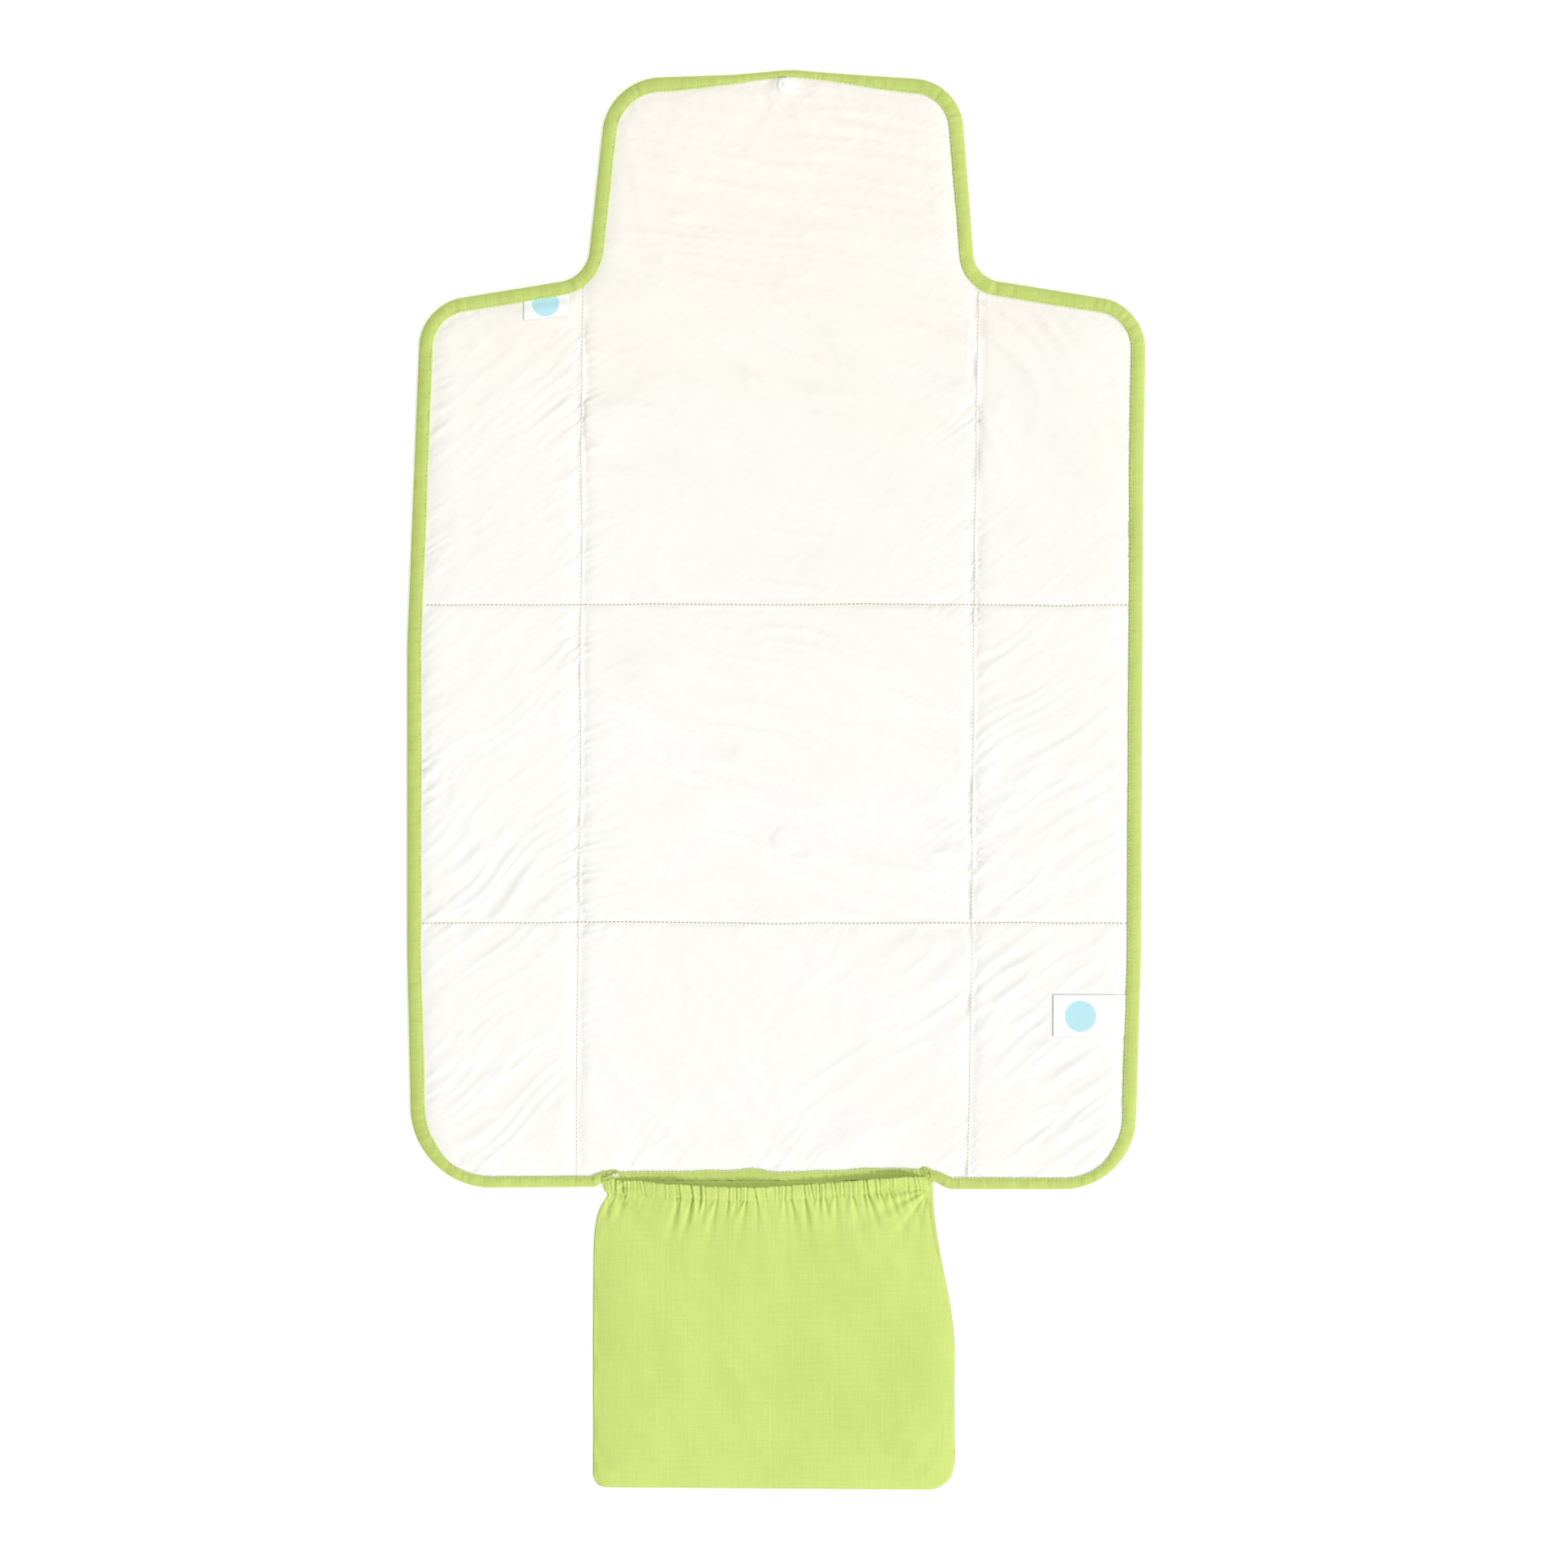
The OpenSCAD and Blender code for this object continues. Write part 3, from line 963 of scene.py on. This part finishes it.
def capsule(centre, along, length, radius, sides=6):
    """One stitch: a short thread that dives into the cloth at both ends."""
    along = np.array([along[0], along[1], 0.0])
    across = np.array([-along[1], along[0], 0.0])
    up = np.array([0, 0, 1.0])
    sink = up * radius * 1.2
    verts = [centre - along * length / 2 - sink]
    for place in (-0.3, 0.3):
        for j in range(sides):
            a = 2 * math.pi * j / sides
            verts.append(centre + along * length * place + radius * (math.cos(a) * across + math.sin(a) * up))
    verts.append(centre + along * length / 2 - sink)
    faces = []
    for j in range(sides):
        k = (j + 1) % sides
        faces.append((0, 1 + k, 1 + j))
        faces.append((1 + j, 1 + k, 1 + sides + k, 1 + sides + j))
        faces.append((1 + 2 * sides, 1 + sides + j, 1 + sides + k))
    return verts, faces


class Stitches:
    """Stitches gathered by the place they belong to, and made as one object for each."""

    def __init__(self, name, thread_material, slot):
        self.name, self.material, self.slot, self.by_place = name, thread_material, slot, {}

    def add(self, x, y, z, along, length, radius, place=None):
        place = place or place_of(x, y)
        self.by_place.setdefault(place, []).append(capsule(np.array([x, y, z]), along, length, radius))

    def make(self):
        for place, stitches in self.by_place.items():
            verts, faces = [], []
            for v, f in stitches:
                base = len(verts)
                verts += v
                faces += [tuple(base + i for i in face) for face in f]
            obj = new_object(f"{self.name}_{place[0]}_{place[1]}", verts, faces, self.material, self.slot)
            attach(obj, place)


def seam_stitches():
    upright = Stitches("quilting", CREAM_THREAD, "cream_face")
    # The seams that run across take the darker thread: painted shade of their groove.
    level = Stitches("level_quilting", SEAM_SHADE_THREAD, "cream_face")
    back = Stitches("back_quilting", GREEN_THREAD, "green_cloth")

    def both_sides(seams, x, y, along):
        if height_on(EDGE, x, y) < binding_width(x, y) + 0.5 * MM:
            return
        seams.add(x, y, float(height_on(TOP_Z, x, y)) + 0.18 * MM, along, 2.3 * MM, 0.36 * MM)
        back.add(x, y, float(height_on(BACK_Z, x, y)) - 0.02 * MM, along, 2.3 * MM, 0.25 * MM)

    for side in (-1, 1):
        y = MAT_BOTTOM
        while y < SHOULDER_Y + 4 * MM:
            both_sides(upright, float(upright_seam_x(side, y)), y, (0, 1))
            y += STITCH
    for k in (0, 1):
        x = MAT_LEFT
        while x < MAT_RIGHT:
            both_sides(level, x, float(level_seam_y(k, x)), (1, 0))
            x += STITCH
    for seams in (upright, level, back):
        seams.make()


def edge_stitches(line, tangent, s):
    edge = Stitches("edge_stitching", GREEN_THREAD, "green_cloth")
    for at in np.arange(0, s[-1], STITCH):
        i = min(int(np.searchsorted(s, at)), len(line) - 1)
        x, y = line[i]
        edge.add(x, y, 2.9 * MM, tangent[i], 2.1 * MM, 0.28 * MM)
        edge.add(x, y, 0.12 * MM, tangent[i], 2.1 * MM, 0.2 * MM)
    edge.make()


# ---- pouch

POUCH_LEFT = float(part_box("pouch_back")[0][0])
POUCH_RIGHT = float(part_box("pouch_back")[1][0])
POUCH_END = float(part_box("pouch_back")[0][1])
MOUTH_LEFT, MOUTH_RIGHT = -127.5 * MM, 114.3 * MM
CASING = 10.2 * MM


def mouth_y(x):
    """The gathered edge sags in the middle of the mouth."""
    t = np.clip((x - MOUTH_LEFT) / (MOUTH_RIGHT - MOUTH_LEFT), 0, 1)
    ends = -294.6 * MM + 2.2 * MM * t
    return ends - 6.6 * MM * np.sin(math.pi * t ** 0.85) ** 2


def pouch_left(y):
    """Pulled in where the elastic's stitching ends, and full width soon below."""
    below = -307.5 * MM - y
    waist = 11.0 * MM * np.exp(-np.maximum(below, 0) / (12 * MM))
    return POUCH_LEFT + waist - 3.0 * MM * fade(0, 9, -below) + 0.3 * MM * Noise(203)(y / 0.03)


def pouch_right(y):
    waist = fade(-300, -424, y)
    return MOUTH_RIGHT + (POUCH_RIGHT - MOUTH_RIGHT) * waist + 0.4 * MM * Noise(205)(y / 0.03)


def gathers():
    """The casing's creases: start, tilt, depth and ridge's side, and lean, share kept and reach below it."""
    rng = np.random.default_rng(77)
    out = []
    x = MOUTH_LEFT + 3.5 * MM
    while x < MOUTH_RIGHT - 2 * MM:
        t = (x - MOUTH_LEFT) / (MOUTH_RIGHT - MOUTH_LEFT)
        tilt = rng.uniform(-0.05, 0.22)
        lean = 0.9 * (t - 0.52) + rng.uniform(-0.15, 0.15)
        depth = rng.uniform(0.5, 1.7) * MM
        keep = rng.choice([0.2, 0.9, 1.7])
        reach = rng.uniform(8, 20) * MM
        out.append((x, tilt, lean, depth, keep, reach, rng.choice([-1, 1])))
        x += rng.choice([2.6, 4.2, 6.0, 8.5]) * rng.uniform(0.85, 1.2) * MM
    return out


def gather_relief(x, v):
    """Sharp valleys with a soft ridge beside each, tight in the casing and fanning out below it."""
    z = np.zeros_like(x)
    below = np.maximum(v - CASING, 0)
    for start, tilt, lean, depth, keep, reach, side in gathers():
        d = x - start - tilt * np.minimum(v, CASING) - lean * below
        wide = 0.55 * MM + 0.12 * below
        strength = np.where(v < CASING, 1.0, keep * np.exp(-below / reach))
        valley = np.exp(-(d / wide) ** 2)
        ridge = np.exp(-((d - side * 2.1 * wide) / (1.5 * wide)) ** 2)
        z += depth * strength * (0.55 * ridge - valley)
    return z


def corner_lift(from_left, from_right):
    """How far the closed end curves up at its two rounded corners; all in millimetres."""
    out = np.zeros_like(from_left)
    for d, r in ((from_left, 9.0), (from_right, 20.0)):
        inside = np.clip(r - d, 0, r)
        out = np.maximum(out, r - np.sqrt(np.maximum(r * r - inside * inside, 0)))
    return out


def pouch_grid(column_step, rows, grow=0.0, top=None):
    """Points of a pouch wall: rows are distances below the mouth, columns run from side to side."""
    columns = int(round((POUCH_RIGHT - POUCH_LEFT) / column_step))
    u = np.linspace(0, 1, columns + 1)[None, :]
    v = np.asarray(rows)[:, None]
    share = v / rows[-1]
    x_mouth = MOUTH_LEFT + (MOUTH_RIGHT - MOUTH_LEFT) * u
    y_top = mouth_y(x_mouth) if top is None else top
    y_end = POUCH_END + 2.0 * MM * (1 - u)
    y = y_top + (y_end - y_top) * share
    left, right = pouch_left(y) - 0.2 * grow, pouch_right(y) + grow
    x = left + (right - left) * u
    lift = corner_lift((x - left) / MM, (right - x) / MM) * MM
    length = -(POUCH_END + 0.6 * MM) - 300 * MM
    y = y + lift * smooth(length - 30 * MM, length, v)
    return x, y, u, v, left, right


def fan(x, y, corner, seed):
    """Wrinkles that spread from one end of the mouth."""
    dx, dy = x - corner[0], corner[1] - y
    away = np.hypot(dx, dy)
    folds = Noise(seed)(np.arctan2(dy, dx) * 5.5 + 20)
    return folds * decay(away, 38) * fade(2, 12, away)


# Where the gathered edge stands up or dips: x, half width and height in millimetres
LIP_WAVES = ((-81, 13, 1.5), (-14, 11, 1.1), (90, 17, 2.2), (30, 22, -0.9))


def lip_height(x):
    height = sum(h * np.exp(-((x - at * MM) / (wide * MM)) ** 2) for at, wide, h in LIP_WAVES)
    return (height + 0.5 * Noise(224)(x / 0.012)) * MM


def pouch_relief(x, y, left, right):
    """Puffs and soft wrinkles of the pouch's front, which lies flat at its sides and its end."""
    side = np.minimum(x - left, right - x)
    end = np.maximum(y - POUCH_END, 0)
    rim = 1 - np.exp(-np.minimum(side, end) / (15 * MM))
    z = 0.9 * MM + rim * 3.0 * MM
    z += rim * 1.0 * MM * Noise(211)(x / 0.045 + y / 0.09, y / 0.06)
    z += rim * 0.55 * MM * Noise(212)(x / 0.019 + y / 0.08, y / 0.06)
    z += rim * 0.30 * MM * Noise(213)((x * 0.8 + y * 0.6) / 0.009, (y * 0.8 - x * 0.6) / 0.04)
    near_left = np.exp(-(x - left) / (15 * MM)) * fade(0, 4, x - left)
    z += near_left * 1.1 * MM * Noise(220)((y + 0.9 * x) / 0.011)
    near_corner = fade(95, 15, np.hypot(right - x, end))
    z += 0.8 * MM * rim * near_corner * Noise(223)((x - 0.6 * y) / 0.010, y / 0.05)
    return z


def add_casing(z, x, v):
    """The casing stands proud of the cloth below it, with the stitched groove between them."""
    in_casing = smooth(CASING + 1.0 * MM, CASING - 1.0 * MM, v)
    bulge = np.sin(math.pi * np.clip(0.3 + 0.7 * v / CASING, 0, 1))
    z += in_casing * (0.6 + 0.8 * bulge) * MM + lip_height(x) * fade(7, 0, v)
    z += in_casing * 0.22 * MM * Noise(219)(x / (1.9 * MM), v / (9 * MM))
    z -= 0.45 * MM * np.exp(-((v - CASING) / (0.7 * MM)) ** 2)


# The cloth turned in behind the mouth's edge, row by row: millimetres down and back from the edge
TURNED_IN = ((0.5, 0.25), (1.5, 0.9), (2.3, 2.6), (2.7, 6.0), (2.8, 9.0))


def with_turned_in_edge(points):
    grid = [points]
    for drop, back in TURNED_IN:
        inner = points[0].copy()
        inner[:, 1] -= back * MM
        inner[:, 2] = np.maximum(inner[:, 2] - drop * MM, 1.3 * MM)
        grid.insert(0, inner[None])
    return np.concatenate(grid, 0)


def pouch_front():
    """The gathered front of the pouch; gives back its surface, for the stitches on it."""
    rows = list(np.arange(0, 40 * MM, 0.9 * MM)) + list(np.linspace(40 * MM, 222 * MM, 70))
    x, y, u, v, left, right = pouch_grid(0.75 * MM, rows)
    z = pouch_relief(x, y, left, right)
    add_casing(z, x, v)
    relief = gather_relief(x, v)
    z += relief * fade(0, 3, np.minimum(x - left, right - x))
    z += 1.3 * MM * fan(x, y, (-124 * MM, -303 * MM), 218) + 1.7 * MM * fan(x, y, (114 * MM, -302 * MM), 216)
    z = np.clip(z, 0.7 * MM, 6.9 * MM)
    lip = fade(2.5, 0, v)
    y = y + lip * (0.55 * MM * Noise(217)(x / (2.4 * MM)) + 0.55 * relief)
    x = x - 2.4 * MM * u ** 9 * fade(8, 22, v) * fade(72, 40, v)
    points = with_turned_in_edge(np.stack([x, y, z], -1))
    obj = sheet_mesh("pouch_front_cloth", points, GREEN, "green_cloth", 0.35 * MM)
    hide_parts("pouch_front")
    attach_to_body(obj, "pouch")
    return x, y, z, v


def shares(start, columns, rows):
    """Values from start to 1 along the columns and down the rows of a grid."""
    return np.linspace(start, 1, columns)[None, :], np.linspace(start, 1, rows)[:, None]


def sheet_mesh(name, points, mat, slot, thickness):
    """A cloth through a grid of points whose rows run down the page."""
    faces = [(a, d, c, b) for a, b, c, d in grid_faces(*points.shape[:2])]
    obj = new_object(name, points.reshape(-1, 3), faces, mat, slot)
    solid = obj.modifiers.new("thickness", "SOLIDIFY")
    solid.thickness = thickness
    solid.offset = -1
    return obj


def pouch_back():
    rows = list(np.linspace(0, 30 * MM, 20)) + list(np.linspace(31.5 * MM, 228 * MM, 50))
    x, y, _, v, _, _ = pouch_grid(2.4 * MM, rows, grow=1.1 * MM, top=POUCH_FOLD_Y - 0.05 * MM)
    z = 0.45 * MM + 0.12 * MM * (1 + Noise(221)(x / 0.03, y / 0.03))
    z = z + fade(2.5, 0, v) * 0.45 * MM
    # The back panel carries painted shade: a darker green for the shade inside the pouch.
    obj = sheet_mesh("pouch_back_cloth", np.stack([x, y, z], -1), POUCH_INSIDE_SHADED_GREEN, "green_cloth", 0.35 * MM)
    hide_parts("pouch_back")
    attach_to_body(obj, "pouch")


def pouch_threads(x, y, z, v):
    """The stitching below the casing."""
    tacks = Stitches("pouch_stitching", GREEN_THREAD, "green_cloth")
    row = int(np.argmin(np.abs(v[:, 0] - CASING)))
    place = ("pouch", "pouch")
    for c in range(4, x.shape[1] - 4, 4):
        along = np.array([x[row, c + 1] - x[row, c - 1], y[row, c + 1] - y[row, c - 1]])
        along /= np.linalg.norm(along)
        tacks.add(x[row, c], y[row, c], z[row, c] + 0.15 * MM, along, 2.2 * MM, 0.22 * MM, place)
    tacks.make()


def mouth_tack():
    """A little bar of white thread that holds the left end of the mouth."""
    tack = Stitches("mouth_tack", WHITE_THREAD, "green_cloth")
    for k in range(7):
        x, y = (-121.2 + 0.6 * k) * MM, (-291.6 + 0.35 * (k % 3)) * MM
        angle = 1.2 - 0.25 * (k % 2)
        tack.add(x, y, 4.1 * MM, (math.cos(angle), math.sin(angle)), 3.4 * MM, 0.3 * MM)
    tack.make()


def bunch(name, centre, half_length, half_width, tilt, seed):
    """Cloth bunched up where one end of the mouth is sewn down on the mat's edge."""
    u, v = shares(-1, 41, 25)
    away = np.hypot(u, v)
    shrink = np.minimum(1, np.maximum(np.abs(u), np.abs(v)) / np.maximum(away, 1e-9))
    px, py = u * shrink, v * shrink
    c, s = math.cos(tilt), math.sin(tilt)
    x = centre[0] + half_length * px * c - half_width * py * s
    y = centre[1] + half_length * px * s + half_width * py * c
    folds = creased(Noise(seed)(px * 2.0 + 9, py * 5 + 2 * px + 9))
    folds += 0.6 * Noise(seed + 1)(px * 5 + 9, py * 5 + 9)
    dome = np.sqrt(np.clip(1 - np.hypot(px, py) ** 2, 0, 1))
    z = 1.6 * MM + dome * (2.2 + 1.0 * folds) * MM
    # The bunches take the tape's green, with its painted shade.
    obj = sheet_mesh(name, np.stack([x, y, z], -1)[::-1], SHADED_TAPE_GREEN, "green_cloth", 0.35 * MM)
    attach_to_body(obj, "bottom_panel")


def pouch_elastic():
    low, high = (np.array(c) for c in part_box("pouch_elastic"))
    t, w = shares(0, 160, 7)
    x = low[0] + 9 * MM + (high[0] - low[0] - 18 * MM) * t + 0 * w
    y = mouth_y(x) - 2 * MM - 6.0 * MM * w
    z = 2.3 * MM + 0.3 * MM * Noise(225)(x / (3 * MM)) + 0 * w
    obj = sheet_mesh("pouch_elastic_band", np.stack([x, y, z], -1), ELASTIC, "elastic", 0.6 * MM)
    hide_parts("pouch_elastic")
    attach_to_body(obj, "pouch")


# ---- labels and snap

def label(name, cad_node, body, centre, radius, free, tilt):
    """A tape label on the quilted face, sewn in under the binding; its disc is given in millimetres."""
    low, high = (np.array(c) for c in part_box(cad_node))
    u, v = shares(0, 41, 29)
    x = low[0] + (high[0] - low[0]) * u + 0 * v
    y = high[1] - (high[1] - low[1]) * v + tilt * (x - (low[0] + high[0]) / 2)
    edge = np.maximum(height_on(EDGE, x, y) - binding_width(x, y), 0)
    away = (1 - u) if free == "left" else v
    z = label_bed(edge) + 0.42 * MM + fade(0, 6, edge) * (0.3 * away ** 2) * MM
    z += 0.06 * MM * Noise(231)(x / 0.012, y / 0.012)
    tape = label_tape(name, [c * MM for c in centre], radius * MM)
    obj = sheet_mesh(name, np.stack([x, y, z], -1), tape, "label", 0.3 * MM)
    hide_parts(cad_node)
    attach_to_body(obj, body)


def turned(name, profile, centre, cad_node, body, sides=48):
    """A turned plastic piece from its (radius, height) profile in millimetres."""
    verts, faces = [], []
    for r, z in profile:
        for j in range(sides):
            a = 2 * math.pi * j / sides
            verts.append((centre[0] + r * MM * math.cos(a), centre[1] + r * MM * math.sin(a), z * MM))
    for k in range(len(profile) - 1):
        for j in range(sides):
            a, b = k * sides + j, k * sides + (j + 1) % sides
            faces.append((a, b, b + sides, a + sides))
    faces.append(tuple(reversed(range(sides))))
    faces.append(tuple(range((len(profile) - 1) * sides, len(profile) * sides)))
    obj = new_object(name, verts, faces, PLASTIC, "snap_plastic")
    edge = obj.modifiers.new("edges", "BEVEL")
    edge.width = 0.12 * MM
    edge.segments = 2
    edge.limit_method = "ANGLE"
    edge.angle_limit = math.radians(50)
    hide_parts(cad_node)
    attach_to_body(obj, body)


STUD_CAP = [(0.3, 0.02), (4.9, 0.02), (5.4, 0.3), (5.4, 0.8), (1.2, 0.9)]
STUD = [(1.2, 0.9), (1.2, 2.4), (5.2, 2.6), (5.5, 3.0), (5.5, 4.2), (5.1, 4.6), (3.3, 4.62), (3.0, 4.58),
        (2.2, 4.6), (1.75, 4.8), (1.8, 5.1), (1.5, 5.3), (0.2, 5.35)]
RING = [(5.0, 1.6), (5.4, 1.3), (5.4, 0.3), (5.0, 0.0), (3.2, 0.0), (2.9, 0.2), (2.5, 0.2), (2.4, 0.5),
        (2.4, 1.2), (0.2, 1.25)]
SOCKET_CAP = [(0.3, 1.65), (5.0, 1.65), (5.3, 1.9), (5.2, 2.2), (0.3, 2.3)]


def snap():
    turned("snap_stud_cap_disc", STUD_CAP, SNAP, "snap_stud_cap", "flap")
    turned("snap_stud_disc", STUD, SNAP, "snap_stud", "flap")
    turned("snap_socket_ring", RING, SOCKET, "snap_socket", "mid_panel")
    turned("snap_socket_cap_disc", SOCKET_CAP, SOCKET, "snap_socket_cap", "mid_panel")


# ---- run

place_camera()
place_floor()
light()
TOP_Z, BACK_Z = quilt()
seam_stitches()
edge_stitches(*binding())
pouch_back()
pouch_threads(*pouch_front())
mouth_tack()
bunch("left_mouth_bunch", (-123.5 * MM, -292.5 * MM), 8 * MM, 4.2 * MM, 0.45, 241)
bunch("right_mouth_bunch", (112.5 * MM, -290.5 * MM), 7.5 * MM, 4 * MM, -0.6, 251)
pouch_elastic()
label("shoulder_label_tape", "shoulder_label", "left_top_wing", (-170.9, 353.2), 10.3, "down", 0.1)
label("side_label_tape", "side_label", "right_bottom_wing", (224.4, -174), 11.7, "left", 0.0)
snap()
